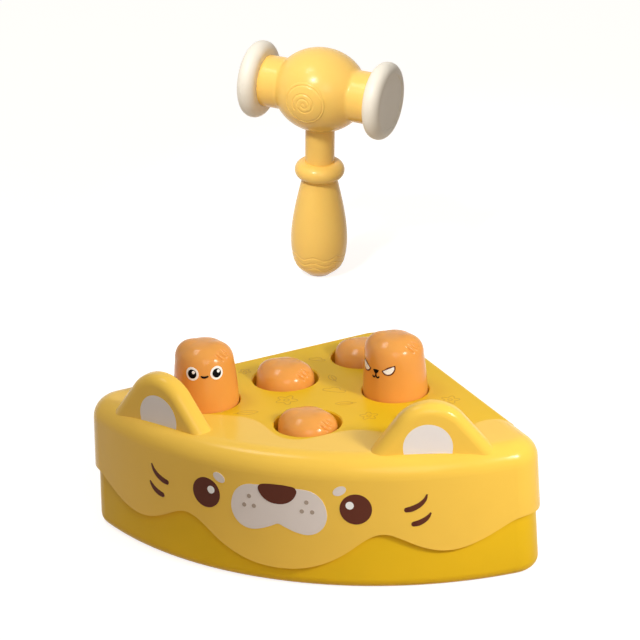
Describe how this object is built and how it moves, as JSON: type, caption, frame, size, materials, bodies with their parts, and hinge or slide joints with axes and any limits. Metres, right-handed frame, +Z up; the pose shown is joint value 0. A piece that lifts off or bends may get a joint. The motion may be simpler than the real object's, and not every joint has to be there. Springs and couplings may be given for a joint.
{
  "type": "mole pounding game",
  "caption": "Wedge-shaped children's pounding game with a round animal face on its cover, spring-loaded pop-up moles, a battery bay underneath and a separate two-faced hammer.",
  "frame": {"origin": "on the table plane, on the upright axis of the rear mole, at the base's flat underside", "axes": "+Z up; -Y towards the rounded front with the face, +Y towards the wedge's tip and the hammer; +X to the right as seen by a player in front of the face"},
  "size_m": [0.2624, 0.4018, 0.1391],
  "materials": {
    "housing_plastic": "smooth moulded plastic, deeper yellow",
    "cover_plastic": "smooth satin moulded plastic, light warm yellow",
    "pad_plastic": "pale smooth inlay",
    "mole_plastic": "smooth glossy orange plastic",
    "hammer_plastic": "smooth glossy warm yellow plastic",
    "disc_rubber": "soft cream white rubber",
    "tray_plastic": "smooth moulded plastic, deeper yellow",
    "inner_plastic": "plain white moulding",
    "steel": "plain steel",
    "spring_steel": "spring wire",
    "copper_winding": "enamelled copper winding",
    "board": "green circuit board",
    "cell_sleeve": "plain dark cell sleeve",
    "dark_plastic": "dark plastic"
  },
  "bodies": {
    "base": {"bottom_tray": "tray_plastic", "main_housing": "housing_plastic", "face_cover": "cover_plastic", "left_ear": "cover_plastic", "right_ear": "cover_plastic", "left_ear_pad": "pad_plastic", "right_ear_pad": "pad_plastic", "guide_plate": "inner_plastic", "guide_plate_screws": "steel", "case_screws": "steel", "battery_contacts": "spring_steel", "circuit_board": "board", "speaker": "dark_plastic", "power_switch": "dark_plastic", "lift_coil_1": "copper_winding", "lift_coil_2": "copper_winding", "lift_coil_3": "copper_winding", "lift_coil_4": "copper_winding", "lift_coil_5": "copper_winding", "lift_coil_6": "copper_winding", "mole_spring_1": "spring_steel", "mole_spring_2": "spring_steel", "mole_spring_3": "spring_steel", "mole_spring_4": "spring_steel", "mole_spring_5": "spring_steel", "mole_spring_6": "spring_steel", "battery_cell_1": "cell_sleeve", "battery_cell_2": "cell_sleeve", "battery_cell_3": "cell_sleeve"},
    "mole_1": {"mole_1": "mole_plastic", "mole_stem_1": "steel"},
    "mole_2": {"mole_2": "mole_plastic", "mole_stem_2": "steel"},
    "mole_3": {"mole_3": "mole_plastic", "mole_stem_3": "steel"},
    "mole_4": {"mole_4": "mole_plastic", "mole_stem_4": "steel"},
    "mole_5": {"mole_5": "mole_plastic", "mole_stem_5": "steel"},
    "mole_6": {"mole_6": "mole_plastic", "mole_stem_6": "steel"},
    "power_knob": {"power_switch_knob": "dark_plastic"},
    "battery_door": {"battery_door": "tray_plastic", "battery_door_screw": "steel"},
    "hammer": {"hammer_handle": "hammer_plastic", "hammer_head": "hammer_plastic", "hammer_collar": "hammer_plastic", "hammer_badge": "hammer_plastic", "hammer_disc_left": "disc_rubber", "hammer_disc_right": "disc_rubber"}
  },
  "joints": [
    {"name": "mole_1_travel", "type": "slide", "parent": "base", "child": "mole_1", "axis": [0, 0, 1], "range_m": [-0.0243, 0], "stiffness_N_per_m": 80, "springref_m": 0.01, "deforming": ["mole_spring_1"]},
    {"name": "mole_2_travel", "type": "slide", "parent": "base", "child": "mole_2", "axis": [0, 0, 1], "range_m": [0, 0.0215], "deforming": ["mole_spring_2"]},
    {"name": "mole_3_travel", "type": "slide", "parent": "base", "child": "mole_3", "axis": [0, 0, 1], "range_m": [0, 0.0225], "deforming": ["mole_spring_3"]},
    {"name": "mole_4_travel", "type": "slide", "parent": "base", "child": "mole_4", "axis": [0, 0, 1], "range_m": [0, 0.0243], "deforming": ["mole_spring_4"]},
    {"name": "mole_5_travel", "type": "slide", "parent": "base", "child": "mole_5", "axis": [0, 0, 1], "range_m": [-0.0228, 0], "stiffness_N_per_m": 80, "springref_m": 0.01, "deforming": ["mole_spring_5"]},
    {"name": "mole_6_travel", "type": "slide", "parent": "base", "child": "mole_6", "axis": [0, 0, 1], "range_m": [0, 0.0243], "deforming": ["mole_spring_6"]},
    {"name": "power_slide", "type": "slide", "parent": "base", "child": "power_knob", "axis": [1, 0, 0], "range_m": [0, 0.003]},
    {"name": "battery_door_removal", "type": "slide", "parent": "base", "child": "battery_door", "axis": [0, 0, -1], "range_m": [0, 0.03]},
    {"name": "hammer_lift", "type": "slide", "parent": "base", "child": "hammer", "axis": [0, 0, 1], "range_m": [0, 0.15]}
  ]
}
